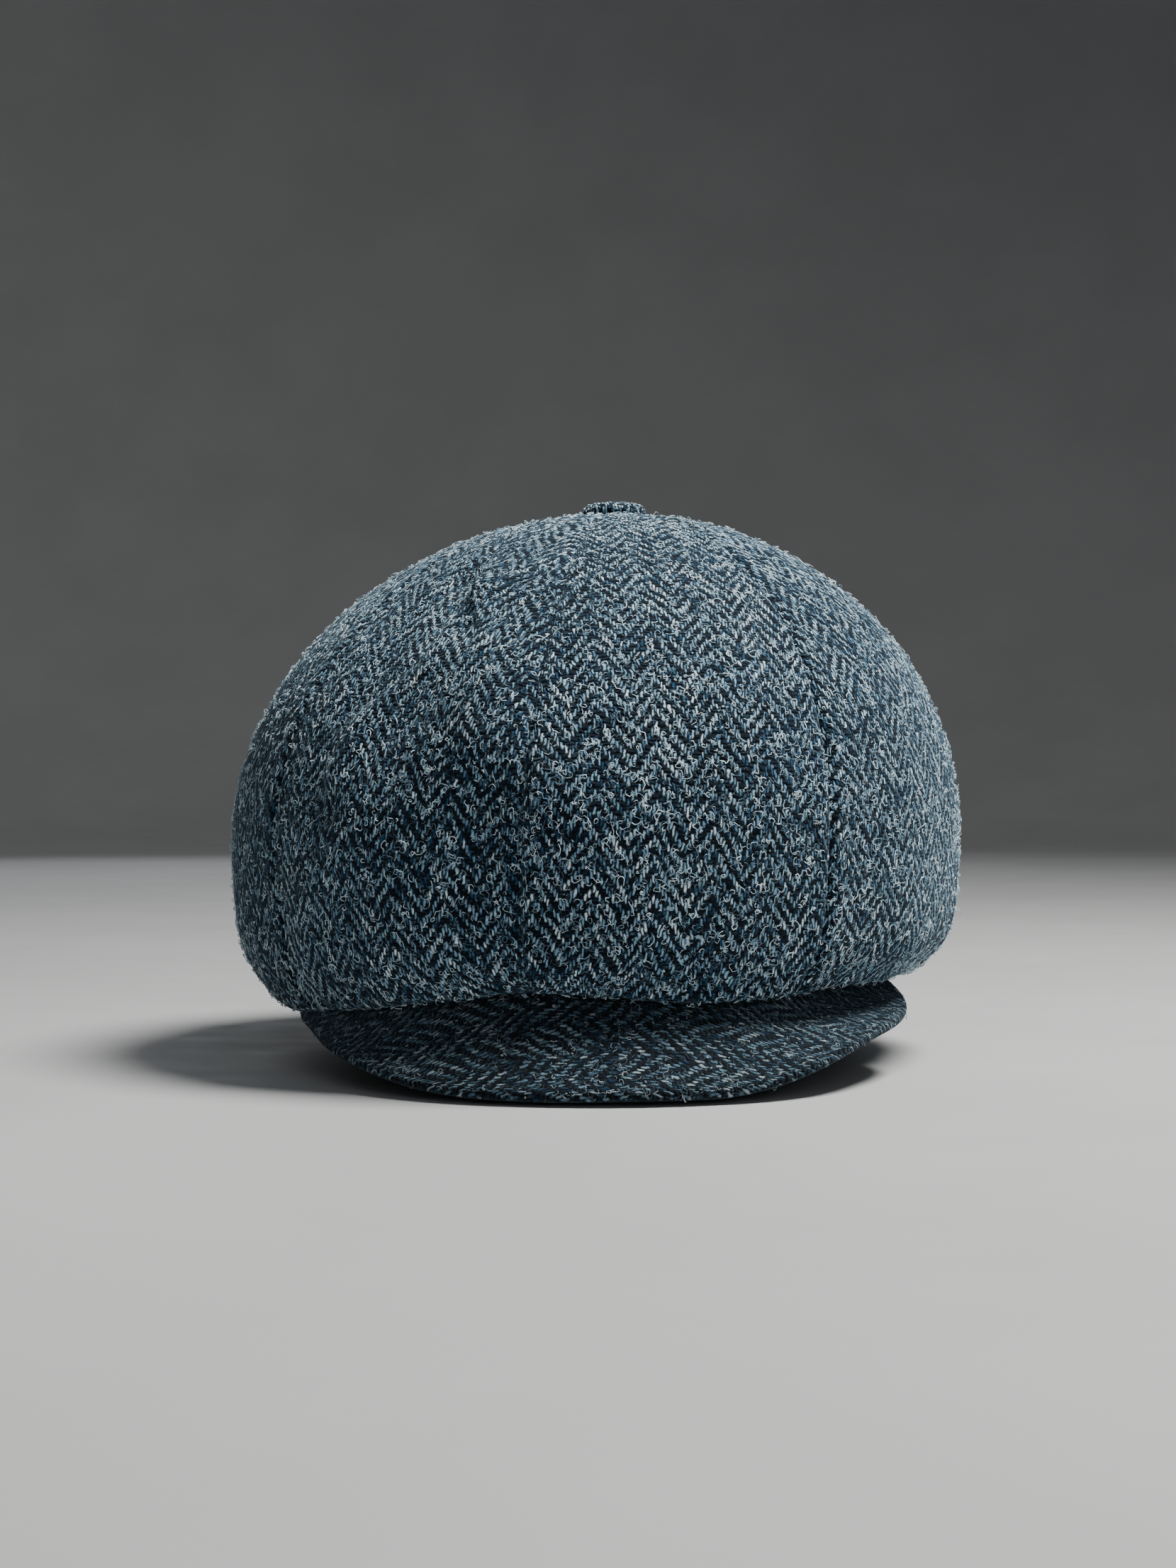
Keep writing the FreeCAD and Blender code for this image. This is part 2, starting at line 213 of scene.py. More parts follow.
class Nodes:
    """A material's node tree with short calls for the nodes used here."""

    def __init__(self, name):
        self.material = bpy.data.materials.new(name)
        self.material.use_nodes = True
        self.tree = self.material.node_tree
        self.tree.nodes.clear()
        self.shader = self.tree.nodes.new("ShaderNodeBsdfPrincipled")
        output = self.tree.nodes.new("ShaderNodeOutputMaterial")
        self.tree.links.new(self.shader.outputs["BSDF"], output.inputs["Surface"])

    def put(self, socket, value):
        if isinstance(value, bpy.types.NodeSocket):
            self.tree.links.new(value, socket)
        else:
            socket.default_value = value

    def math(self, operation, *values, clamp=False):
        node = self.tree.nodes.new("ShaderNodeMath")
        node.operation = operation
        node.use_clamp = clamp
        for socket, value in zip(node.inputs, values):
            self.put(socket, value)
        return node.outputs[0]

    def noise(self, vector, scale, detail=3.0, roughness=0.55):
        node = self.tree.nodes.new("ShaderNodeTexNoise")
        self.put(node.inputs["Vector"], vector)
        node.inputs["Scale"].default_value = scale
        node.inputs["Detail"].default_value = detail
        node.inputs["Roughness"].default_value = roughness
        return node.outputs["Fac"]

    def scatter(self, x, y):
        """A random value for each pair of whole numbers."""
        node = self.tree.nodes.new("ShaderNodeTexWhiteNoise")
        node.noise_dimensions = "2D"
        self.put(node.inputs["Vector"], self.vector(self.math("ADD", x, 0.5), self.math("ADD", y, 0.5)))
        return node.outputs["Value"]

    def shift(self, vector, offset):
        node = self.tree.nodes.new("ShaderNodeVectorMath")
        node.operation = "ADD"
        self.put(node.inputs[0], vector)
        node.inputs[1].default_value = offset
        return node.outputs[0]

    def contour(self, vector, scale):
        """Thin curling lines, as of single fibres lying on the cloth."""
        level = self.math("ABSOLUTE", self.math("SUBTRACT", self.noise(vector, scale, 1.0), 0.5))
        return self.ramp(level, 0.020, 0.006)

    def place(self):
        """Object coordinates in metres."""
        return self.tree.nodes.new("ShaderNodeTexCoord").outputs["Object"]

    def weave_uv(self):
        """The cloth's own coordinates in metres, as separate u and v."""
        node = self.tree.nodes.new("ShaderNodeUVMap")
        node.uv_map = "Weave"
        parts = self.tree.nodes.new("ShaderNodeSeparateXYZ")
        self.tree.links.new(node.outputs["UV"], parts.inputs[0])
        return parts.outputs[0], parts.outputs[1]

    def vector(self, x, y, z=0.0):
        node = self.tree.nodes.new("ShaderNodeCombineXYZ")
        for socket, value in zip(node.inputs, (x, y, z)):
            self.put(socket, value)
        return node.outputs[0]

    def ramp(self, value, low, high, out_low=0.0, out_high=1.0):
        node = self.tree.nodes.new("ShaderNodeMapRange")
        node.interpolation_type = "SMOOTHSTEP"
        for socket, number in zip(node.inputs, (value, low, high, out_low, out_high)):
            self.put(socket, number)
        return node.outputs[0]

    def mix(self, share, first, second):
        node = self.tree.nodes.new("ShaderNodeMix")
        node.data_type = "RGBA"
        self.put(node.inputs["Factor"], share)
        for socket, colour in ((node.inputs["A"], first), (node.inputs["B"], second)):
            if isinstance(colour, tuple):
                colour = (*colour, 1.0)
            self.put(socket, colour)
        return node.outputs["Result"]

    def shade(self, colour, factor):
        """A colour multiplied by a number."""
        node = self.tree.nodes.new("ShaderNodeVectorMath")
        node.operation = "SCALE"
        self.put(node.inputs[0], colour)
        self.put(node.inputs["Scale"], factor)
        return node.outputs[0]

    def relief(self, height, distance, strength=1.0, under=None):
        node = self.tree.nodes.new("ShaderNodeBump")
        node.inputs["Strength"].default_value = strength
        node.inputs["Distance"].default_value = distance
        self.put(node.inputs["Height"], height)
        if under is not None:
            self.put(node.inputs["Normal"], under)
        return node.outputs["Normal"]

    def finish(self, colour, roughness, normal=None, **numbers):
        self.put(self.shader.inputs["Base Color"], colour)
        self.put(self.shader.inputs["Roughness"], roughness)
        if normal is not None:
            self.put(self.shader.inputs["Normal"], normal)
        for name, number in numbers.items():
            self.shader.inputs[name.replace("_", " ")].default_value = number
        return self.material


WARP_PITCH = 1.03 * MM
WEFT_PITCH = 1.46 * MM
COLUMN_THREADS = 9


def tweed(name, across=False, depth=1.0):
    """Herringbone wool: 2/2 twill whose direction turns every nine warp threads, pale warp on dark weft, hairy.

    across lays the threads left to right, and depth scales the colour down: on the visor it darkens the cloth as
    painted shade, with some of that cloth's own darker tone."""
    n = Nodes(name)
    u, v = n.weave_uv()
    if across:
        u, v = v, u
    place = n.place()
    sway = n.math("ADD", n.ramp(n.noise(place, 90, 2), 0.2, 0.8, -0.8, 0.8),
                  n.ramp(n.noise(place, 760, 1), 0.25, 0.75, -0.18, 0.18))
    shifted = n.shift(place, (0.31, 0.17, 0.23))
    sway_along = n.math("ADD", n.ramp(n.noise(shifted, 130, 2), 0.2, 0.8, -0.7, 0.7),
                        n.ramp(n.noise(shifted, 620, 1), 0.25, 0.75, -0.16, 0.16))
    warp_at = n.math("ADD", n.math("DIVIDE", u, WARP_PITCH), sway)
    weft_at = n.math("ADD", n.math("DIVIDE", v, WEFT_PITCH), sway_along)
    warp_number = n.math("FLOOR", warp_at)
    weft_number = n.math("FLOOR", weft_at)
    warp_part = n.math("SUBTRACT", warp_at, warp_number)
    weft_part = n.math("SUBTRACT", weft_at, weft_number)
    column = n.math("FLOOR", n.math("DIVIDE", warp_number, COLUMN_THREADS))
    turned = n.math("FLOORED_MODULO", column, 2)
    direction = n.math("SUBTRACT", 1, n.math("MULTIPLY", turned, 2))
    twill = n.math("ADD", weft_number, n.math("MULTIPLY", direction, warp_number))
    step = n.math("FLOORED_MODULO", twill, 4)
    repeat = n.math("FLOOR", n.math("DIVIDE", twill, 4))
    on_top = n.math("LESS_THAN", step, 1.5)

    def arch(part):
        """Round cross-section of a thread from its 0 to 1 position."""
        centred = n.math("SUBTRACT", n.math("MULTIPLY", part, 2), 1)
        return n.math("SUBTRACT", 1, n.math("MULTIPLY", centred, centred))

    warp_along = n.math("DIVIDE", n.math("ADD", step, weft_part), 2)
    weft_side = n.math("ADD", n.math("MULTIPLY", turned, n.math("SUBTRACT", 1, n.math("MULTIPLY", warp_part, 2))),
                       warp_part)
    weft_along = n.math("DIVIDE", n.math("ADD", n.math("SUBTRACT", step, 2), weft_side), 2)
    warp_height = n.math("MULTIPLY", arch(warp_part), n.ramp(arch(warp_along), 0.0, 0.8, 0.35, 1.0))
    weft_height = n.math("MULTIPLY", arch(weft_part), n.ramp(arch(weft_along), 0.0, 0.8, 0.30, 0.80))
    difference = n.math("SUBTRACT", warp_height, weft_height)
    height = n.math("ADD", weft_height, n.math("MULTIPLY", on_top, difference))

    warp_float = n.scatter(warp_number, repeat)
    weft_float = n.scatter(n.math("ADD", weft_number, 500), repeat)
    patches = n.noise(place, 240, 2)
    fibres = n.noise(place, 1500, 3, 0.7)
    warp_tone = n.math("ADD", n.math("MULTIPLY", warp_float, 0.70), n.ramp(patches, 0.3, 0.7, -0.10, 0.34))
    warp_tone = n.math("ADD", warp_tone, n.ramp(n.noise(place, 24, 2), 0.3, 0.7, -0.14, 0.12))
    pale = n.mix(n.ramp(warp_tone, 0.10, 0.55), (0.008, 0.045, 0.100), (0.20, 0.37, 0.50))
    pale = n.mix(n.ramp(warp_tone, 0.55, 0.95), pale, (0.68, 0.85, 0.94))
    dark = n.mix(n.ramp(weft_float, 0.6, 1.0), (0.0010, 0.0070, 0.0180), (0.010, 0.036, 0.066))
    cloth = n.mix(on_top, dark, pale)
    cloth = n.mix(n.ramp(fibres, 0.58, 0.72, 0.0, 0.40), cloth, (0.13, 0.27, 0.38))
    cloth = n.mix(n.ramp(fibres, 0.45, 0.28, 0.0, 0.85), cloth, (0.001, 0.008, 0.020))
    # Darker where the yarns dip and lighter on their crests: painted shade between the threads and a painted highlight
    # on the floats.
    cloth = n.shade(cloth, n.ramp(height, 0.30, 1.0, 0.05, 1.15))
    curls = n.math("MULTIPLY", n.contour(place, 330), n.ramp(n.noise(place, 210, 1), 0.52, 0.60))
    curls = n.math("MAXIMUM", curls, n.math("MULTIPLY", n.contour(shifted, 520),
                                            n.ramp(n.noise(shifted, 260, 1), 0.54, 0.62)))
    cloth = n.mix(n.math("MULTIPLY", curls, 0.60), cloth, (0.42, 0.62, 0.75))
    clouds = n.noise(place, 55, 3)
    # The mottling is the wool's own tone; depth below 1 scales it all down as painted shade.
    cloth = n.shade(cloth, n.ramp(clouds, 0.25, 0.75, 0.80 * depth, 1.18 * depth))
    height = n.math("ADD", height, n.math("MULTIPLY", curls, 0.5))
    height = n.math("ADD", height, n.math("MULTIPLY", warp_float, n.math("MULTIPLY", on_top, 0.35)))
    yarn = n.relief(fibres, 0.16 * MM, 0.7)
    normal = n.relief(height, 0.50 * MM, 1.0, yarn)
    return n.finish(cloth, n.ramp(fibres, 0.2, 0.8, 0.85, 1.0), normal,
                    Sheen_Weight=0.12, Sheen_Roughness=0.5, Sheen_Tint=(0.55, 0.80, 1.0, 1.0),
                    Specular_IOR_Level=0.12)


def wool_hair(name, depth=1.0):
    """Loose wool hairs, from grey-blue to nearly white. depth scales the colour down, as painted shade for hairs that
    lie in shade.
    """
    n = Nodes(name)
    tone = n.noise(n.place(), 300, 2)
    colour = n.mix(n.ramp(tone, 0.33, 0.58), (0.10, 0.22, 0.32), (0.70, 0.87, 0.94))
    # Painted shade when depth is below 1.
    colour = n.shade(colour, depth)
    return n.finish(colour, n.ramp(n.noise(n.place(), 900, 2), 0.2, 0.8, 0.7, 0.9),
                    Sheen_Weight=0.1, Specular_IOR_Level=0.25)


def satin(name):
    """Lining satin with fine floats and a soft gloss."""
    n = Nodes(name)
    u, v = n.weave_uv()
    place = n.place()
    floats = n.noise(n.vector(n.math("DIVIDE", u, 0.18 * MM), n.math("DIVIDE", v, 2.4 * MM)), 1.0, 3)
    clouds = n.noise(place, 30, 3)
    colour = n.mix(n.ramp(clouds, 0.3, 0.7), (0.014, 0.019, 0.034), (0.032, 0.040, 0.066))
    # Lighter on the raised floats and darker between them: painted highlight and painted shade.
    colour = n.shade(colour, n.ramp(floats, 0.25, 0.75, 0.78, 1.22))
    normal = n.relief(floats, 0.04 * MM, 0.5, n.relief(n.noise(place, 120, 3), 0.5 * MM, 0.4))
    return n.finish(colour, n.ramp(floats, 0.2, 0.8, 0.38, 0.52), normal, Sheen_Weight=0.15)


def ribbed_tape(name, first, second, rib=1.1 * MM):
    """Woven cotton tape with ribs across its length."""
    n = Nodes(name)
    u, v = n.weave_uv()
    place = n.place()
    ribs = n.math("SINE", n.math("MULTIPLY", u, 2 * math.pi / rib))
    threads = n.math("SINE", n.math("MULTIPLY", v, 2 * math.pi / (0.45 * MM)))
    height = n.math("ADD", n.math("MULTIPLY", ribs, 0.7), n.math("MULTIPLY", threads, 0.3))
    colour = n.mix(n.ramp(n.noise(place, 240, 3), 0.3, 0.7), first, second)
    # Painted shade in the grooves between ribs and threads, and lighter on their crests.
    colour = n.shade(colour, n.ramp(height, -1.0, 1.0, 0.7, 1.15))
    normal = n.relief(height, 0.10 * MM, 0.8)
    return n.finish(colour, n.ramp(n.noise(place, 500, 2), 0.2, 0.8, 0.72, 0.9), normal, Sheen_Weight=0.1)


def buckram(name):
    """Open gummed weave of the band's stiffener."""
    n = Nodes(name)
    place = n.place()
    parts = n.tree.nodes.new("ShaderNodeSeparateXYZ")
    n.tree.links.new(place, parts.inputs[0])
    wave = 2 * math.pi / (1.2 * MM)
    height = n.math("MULTIPLY", n.math("SINE", n.math("MULTIPLY", n.math("ADD", parts.outputs[0],
                    parts.outputs[1]), wave)), n.math("SINE", n.math("MULTIPLY", parts.outputs[2], wave)))
    # Darker where the threads dip and paler where they rise: painted shade in the weave's hollows.
    colour = n.mix(n.ramp(height, -0.6, 0.8), (0.42, 0.39, 0.32), (0.72, 0.69, 0.60))
    return n.finish(colour, n.ramp(n.noise(place, 400, 2), 0.2, 0.8, 0.75, 0.92), n.relief(height, 0.1 * MM, 0.7))


def grained(name, first, second, scale, roughness, relief=0.03 * MM, **numbers):
    """A plain surface with a fine grain and slight wear."""
    n = Nodes(name)
    place = n.place()
    grain = n.noise(place, scale, 4)
    colour = n.mix(n.ramp(n.noise(place, scale / 9, 3), 0.3, 0.7), first, second)
    return n.finish(colour, n.ramp(grain, 0.25, 0.75, roughness - 0.1, roughness + 0.1),
                    n.relief(grain, relief, 0.5), **numbers)


crown_tweed = tweed("crown tweed")
# The visor's tweed is darkened to 0.36: painted shade from the crown's overhang, with some of the visor cloth's own
# darker tone.
visor_tweed = tweed("visor tweed", across=True, depth=0.36)
hair_material = wool_hair("wool hair")
# The visor's hairs are darkened to 0.42: painted shade from the crown's overhang.
visor_hair_material = wool_hair("visor wool hair", depth=0.42)
lining_satin = satin("lining satin")
sweat_tape = ribbed_tape("sweatband tape", (0.012, 0.013, 0.016), (0.030, 0.031, 0.036))
label_tape = ribbed_tape("label tape", (0.42, 0.40, 0.35), (0.56, 0.54, 0.48), rib=0.5 * MM)
thread_material = grained("waxed thread", (0.010, 0.014, 0.020), (0.030, 0.038, 0.050), 3000, 0.6)
pale_thread = grained("pale thread", (0.10, 0.11, 0.12), (0.22, 0.23, 0.24), 3000, 0.6)
board_material = grained("visor board", (0.62, 0.61, 0.58), (0.76, 0.75, 0.71), 700, 0.6)
steel_material = grained("pressed steel", (0.42, 0.42, 0.41), (0.58, 0.58, 0.57), 1500, 0.4, Metallic=1.0)
buckram_material = buckram("buckram")


# ---------------------------------------------------------------- the crown's surface

def lean(level):
    """Sideways lean of the soft bag above the band."""
    return CROWN_LEAN * np.maximum((level - BAND_TOP) / (CROWN_TOP - BAND_TOP), 0) ** 1.1


def oval(half_width, half_depth, azimuth, level):
    """Points of level ovals, azimuth in degrees from the front towards +X."""
    angle = np.radians(azimuth)
    return np.stack([half_width * np.sin(angle) + lean(level), -half_depth * np.cos(angle), level], -1)


def quarter(share, fullness):
    """Sine and cosine sides of a quarter superellipse."""
    angle = np.radians(90 * np.clip(share, 0, 1))
    return np.maximum(np.sin(angle), 0) ** (2 / fullness), np.maximum(np.cos(angle), 0) ** (2 / fullness)


def lip_level(azimuth):
    """Lowest level of the folded lip."""
    angle = np.radians(azimuth)
    off_front = np.abs((azimuth + 180) % 360 - 180)
    back = LIP_BACK_DROP * smooth_step(90, 175, off_front)
    return LIP_FRONT - LIP_SIDE_DROP * np.sin(angle) ** 2 - back + LIP_ROLL * np.sin(angle)


def crown_surface(azimuth, run):
    """The crown's outer face: run 0 at the button, 1 at the belly, 2 at the lip and 3 at the band seam."""
    azimuth = azimuth + CROWN_TURN * smooth_step(3.0, 2.0, run)
    low = lip_level(azimuth)
    dome_out, dome_up = quarter(run, 2.0)
    belly_down, belly_out = quarter(run - 1, 2.6)
    fold_in, fold_down = quarter(run - 2, 1.35)
    seam_half = BAND_HALF + 0.7 * MM
    seam_level = BAND_TOP - 2 * MM
    half = []
    for axis in (0, 1):
        dome = BELLY_HALF[axis] * dome_out
        belly = LIP_HALF[axis] + (BELLY_HALF[axis] - LIP_HALF[axis]) * belly_out
        fold = LIP_HALF[axis] + (seam_half[axis] - LIP_HALF[axis]) * fold_in
        half.append(np.where(run <= 1, dome, np.where(run <= 2, belly, fold)))
    level = np.where(run <= 1, BELLY_LEVEL + (CROWN_TOP - BELLY_LEVEL) * dome_up,
                     np.where(run <= 2, BELLY_LEVEL - (BELLY_LEVEL - low) * belly_down,
                              seam_level - (seam_level - low) * fold_down))
    return oval(half[0], half[1], azimuth, level)


GORE_COLUMNS = 41
CROWN_ROWS = 200
gore_shares = seamward(GORE_COLUMNS)
gore_azimuths = np.concatenate([(k + gore_shares[:-1]) * GORE_ANGLE for k in range(GORES)])
crown_runs = even_runs(crown_surface, 90, 0.035, 2.97, CROWN_ROWS)
azimuth_grid, run_grid = np.meshgrid(gore_azimuths, crown_runs, indexing="ij")
crown_base = crown_surface(azimuth_grid, run_grid)
crown_normal = grid_normals(crown_base, closed=True)
crown_normal = upright(crown_normal, crown_normal[:, CROWN_ROWS // 3, 2])


def ridge(points, path, width, height, hollow):
    """A soft crease along a path of points: a raised fold with a hollow on its -X side."""
    best = np.full(points.shape[:-1], 1e9)
    side = np.zeros_like(best)
    for start, end in zip(path, path[1:]):
        start, end = np.array(start), np.array(end)
        line = end - start
        share = np.clip(((points - start) @ line) / (line @ line), 0, 1)
        offset = points - (start + share[..., None] * line)
        distance = np.linalg.norm(offset, axis=-1)
        nearer = distance < best
        best = np.where(nearer, distance, best)
        side = np.where(nearer, offset[..., 0], side)
    signed = best * np.sign(side)
    return height * bump(signed, width) - hollow * bump(signed + 2.4 * width, 1.7 * width)


def skin_point(azimuth, level):
    """Point of the crown's visible face nearest to an azimuth from the front and a level in mm."""
    front = (azimuth_grid + CROWN_TURN + 180) % 360 - 180
    miss = (front - azimuth) ** 2 + (crown_base[..., 2] / MM - level) ** 2 + 1e6 * (run_grid > 2)
    return crown_base[np.unravel_index(np.argmin(miss), miss.shape)]


def lip_change():
    """How much higher the soft lip hangs than its even line, by azimuth from the front."""
    azimuths = [-180, -95, -75, -60, -45, -30, -15, 0, 15, 30, 45, 60, 75, 95, 180]
    rises = [0.0, -1.5, -2.8, -3.2, -0.8, 2.0, 3.8, 1.6, -0.6, -0.4, 2.0, 1.6, 1.0, 0.8, 0.0]
    front = (azimuth_grid + CROWN_TURN + 180) % 360 - 180
    return np.interp(front, azimuths, rises) * MM * bump(run_grid - 2.0, 0.42)


def crown_shape():
    """The crown's outer face with its seams, puffed gores, soft folds and dents."""
    share = ((azimuth_grid / GORE_ANGLE) % 1.0)
    radius = np.hypot(crown_base[..., 0] - lean(crown_base[..., 2]), crown_base[..., 1])
    width = radius * math.radians(GORE_ANGLE)
    to_seam = np.minimum(share, 1 - share) * width
    fade = smooth_step(4 * MM, 40 * MM, radius)
    puff = 1.5 * MM * fade * (1 - (2 * share - 1) ** 2) - 0.7 * MM * fade
    seam = -1.15 * MM * bump(to_seam, 1.15 * MM) + 0.5 * MM * bump(to_seam - 3.8 * MM, 2.0 * MM)
    level = crown_base[..., 2]
    slack = smooth_step(110 * MM, 0, level)
    rolls = (soft_noise(crown_base, 62 * MM, 1) * (0.8 + 1.9 * slack)
             + soft_noise(crown_base * np.array([1.0, 1.0, 0.55]), 26 * MM, 2) * (0.25 + 0.75 * slack)) * MM
    crease = ridge(crown_base, [skin_point(-29, 118), skin_point(-33, 92), skin_point(-40, 72),
                                skin_point(-41, 56)], 4.5 * MM, 2.6 * MM, 2.6 * MM)
    crease += ridge(crown_base, [skin_point(-24, 96), skin_point(-17, 72), skin_point(-6, 43),
                                 skin_point(3, 4)], 12 * MM, 1.6 * MM, 3.2 * MM)
    front = (azimuth_grid + CROWN_TURN + 180) % 360 - 180
    # azimuth from the front, level, half width, half height and depth of each dent, the last four in mm
    dents = [(-58, 4, 15, 16, 2.4), (24, 6, 20, 14, 1.4), (60, 44, 16, 30, 1.4),
             (140, 20, 20, 26, 2.6), (-150, 30, 18, 30, 2.4), (100, 64, 14, 30, 2.0), (-105, 52, 14, 34, 2.2)]
    hollow = sum(depth * MM * bump(((front - azimuth + 180) % 360 - 180) * math.pi / 180 * 0.13, wide * MM)
                 * bump(level - height * MM, tall * MM) for azimuth, height, wide, tall, depth in dents)
    taper = 2.6 * MM * bump(run_grid - 1.72, 0.22) + 0.9 * MM * bump(run_grid - 0.55, 0.4)
    seam_end = smooth_step(2.95, 2.5, run_grid) * smooth_step(0.03, 0.12, run_grid)
    offset = np.maximum(puff + rolls * fade + crease - hollow - taper, -3.4 * MM) * seam_end
    offset += seam * smooth_step(0.03, 0.1, run_grid)
    resting = smooth_step(1.75, 2.1, run_grid) * smooth_step(78, 60, np.abs(front))
    offset = offset * (1 - 0.75 * resting)
    shape = crown_base + crown_normal * offset[..., None]
    shape[..., 2] += lip_change()
    return shape


crown = crown_shape()


def cloth_uv(points, centre):
    """Cloth coordinates of a grid: distance across from its centre row, and mean length along."""
    steps = np.linalg.norm(np.diff(points, axis=0), axis=-1)
    across = np.concatenate([np.zeros((1, points.shape[1])), np.cumsum(steps, axis=0)])
    across = across - across[centre]
    steps = np.linalg.norm(np.diff(points[centre], axis=0), axis=-1)
    along = np.concatenate([[0], np.cumsum(steps)])
    return np.stack([across, np.broadcast_to(along, across.shape)], -1)


def gore_rows(grid, number):
    """The rows of one gore, including the first of the next."""
    start = number * (GORE_COLUMNS - 1)
    rows = np.arange(start, start + GORE_COLUMNS) % grid.shape[0]
    return grid[rows]


# ---------------------------------------------------------------- loose wool hairs

def hair_mesh(name, points, normals, count, longest=8.0 * MM, lift=1.4 * MM):
    """Curled hairs rooted at random on a grid of points: thin three-sided tubes with pointed ends."""
    rows, columns = points.shape[:2]
    area = np.linalg.norm(np.cross(points[1:, :-1] - points[:-1, :-1], points[:-1, 1:] - points[:-1, :-1]), axis=-1)
    cell = random.choice(area.size, count, p=(area / area.sum()).ravel())
    row, column = np.unravel_index(cell, area.shape)
    a, b = random.random((2, count, 1))
    root = (points[row, column] * (1 - a) * (1 - b) + points[row + 1, column] * a * (1 - b)
            + points[row, column + 1] * (1 - a) * b + points[row + 1, column + 1] * a * b)
    normal = unit(normals[row, column])
    along = unit(points[row, column + 1] - points[row, column])
    along = unit(along - normal * (along * normal).sum(-1, keepdims=True))
    across = np.cross(normal, along)
    knots = 9
    length = longest * (0.28 + 0.72 * random.random(count) ** 2.4)
    heading = random.normal(0, 0.9, count) + math.pi * random.integers(0, 2, count)
    curl = (3.0 + np.abs(random.normal(0, 3.4, count))) * random.choice([-1, 1], count)
    wiggle = random.normal(0, 0.55, (count, knots))
    rise = lift * (0.12 + 0.88 * random.random(count) ** 3)
    lean_out = random.random(count) ** 2
    shares = np.linspace(0, 1, knots)
    path = np.empty((count, knots, 3))
    path[:, 0] = root - normal * 0.15 * MM
    for k in range(1, knots):
        angle = heading + curl * shares[k] + wiggle[:, k]
        step = (across * np.sin(angle)[:, None] + along * np.cos(angle)[:, None]) * (length / (knots - 1))[:, None]
        path[:, k] = path[:, k - 1] + step
    arch = np.sin(math.pi * shares)[None] * (1 - lean_out[:, None]) + shares[None] * lean_out[:, None]
    path += normal[:, None] * (rise[:, None] * arch)[..., None]
    thick = (0.09 + 0.10 * random.random(count) ** 2) * MM
    tangent = unit(np.gradient(path, axis=1))
    side = unit(np.cross(tangent, normal[:, None]))
    up = np.cross(side, tangent)
    rings = []
    for k in range(3):
        angle = 2 * math.pi * k / 3
        rings.append(path[:, 1:-1] + (side[:, 1:-1] * math.cos(angle) + up[:, 1:-1] * math.sin(angle))
                     * thick[:, None, None])
    rings = np.stack(rings, 2).reshape(count, -1, 3)
    vertices = np.concatenate([path[:, :1], rings, path[:, -1:]], 1)
    per_hair = vertices.shape[1]
    faces = []
    for k in range(3):
        following = (k + 1) % 3
        faces.append([0, 1 + following, 1 + k])
        last = 1 + 3 * (knots - 3)
        faces.append([per_hair - 1, last + k, last + following])
        for ring in range(knots - 3):
            low = 1 + 3 * ring
            faces.append([low + k, low + following, low + 3 + following])
            faces.append([low + k, low + 3 + following, low + 3 + k])
    faces = (np.array(faces)[None] + (np.arange(count) * per_hair)[:, None, None]).reshape(-1, 3)
    mesh = bpy.data.meshes.new(name)
    mesh.from_pydata(vertices.reshape(-1, 3).tolist(), [], faces.tolist())
    mesh.polygons.foreach_set("use_smooth", np.ones(len(mesh.polygons), bool))
    return mesh


CROWN_HAIRS = 2700
HAIRY_SHARE = 0.86
HAIR_SHARE = 1.0
crown_out = grid_normals(crown, closed=True)
crown_out = upright(crown_out, crown_out[:, CROWN_ROWS // 3, 2])
for number in range(GORES):
    outer = gore_rows(crown, number)
    normals = gore_rows(crown_out, number)
    inner = outer - normals * TWEED
    mesh = shell_mesh(f"crown_panel_{number + 1}", outer, inner, cloth_uv(outer, GORE_COLUMNS // 2))
    panel = new_piece(f"crown_panel_{number + 1}", mesh, crown_tweed, "cap", [f"crown_gore_{number + 1}"])
    shown = int(CROWN_ROWS * HAIRY_SHARE)
    hairs = hair_mesh(f"crown_hairs_{number + 1}", outer[:, :shown], normals[:, :shown], int(CROWN_HAIRS * HAIR_SHARE))
    new_piece(f"crown_hairs_{number + 1}", hairs, hair_material, "cap")


# ---------------------------------------------------------------- lining

def lining_surface(azimuth, run):
    """The lining's outer face: run 0 at the top, 1 at its widest and 2 at its foot."""
    out, up = quarter(run, 2.0)
    down, side = quarter(run - 1, 2.0)
    half = [np.where(run <= 1, LINING_HALF[axis] * out,
                     LINING_FOOT_HALF[axis] + (LINING_HALF[axis] - LINING_FOOT_HALF[axis]) * side)
            for axis in (0, 1)]
    level = np.where(run <= 1, LINING_LEVEL + (lining_top - LINING_LEVEL) * up,
                     LINING_LEVEL - (LINING_LEVEL - LINING_FOOT) * down)
    return oval(half[0], half[1], azimuth, level)


LINING_COLUMNS = 25
LINING_ROWS = 90
SATIN = 0.5 * MM
lining_shares = seamward(LINING_COLUMNS)
lining_azimuths = np.concatenate([(k + lining_shares[:-1]) * GORE_ANGLE for k in range(GORES)])
lining_runs = even_runs(lining_surface, 90, 0.03, 1.96, LINING_ROWS)
lining_azimuth_grid, lining_run_grid = np.meshgrid(lining_azimuths, lining_runs, indexing="ij")
lining_base = lining_surface(lining_azimuth_grid, lining_run_grid)
lining_normal = grid_normals(lining_base, closed=True)
lining_normal = upright(lining_normal, lining_normal[:, LINING_ROWS // 3, 2])
lining_share = (lining_azimuth_grid / GORE_ANGLE) % 1.0
lining_radius = np.hypot(lining_base[..., 0] - lean(lining_base[..., 2]), lining_base[..., 1])
lining_to_seam = np.minimum(lining_share, 1 - lining_share) * lining_radius * math.radians(GORE_ANGLE)
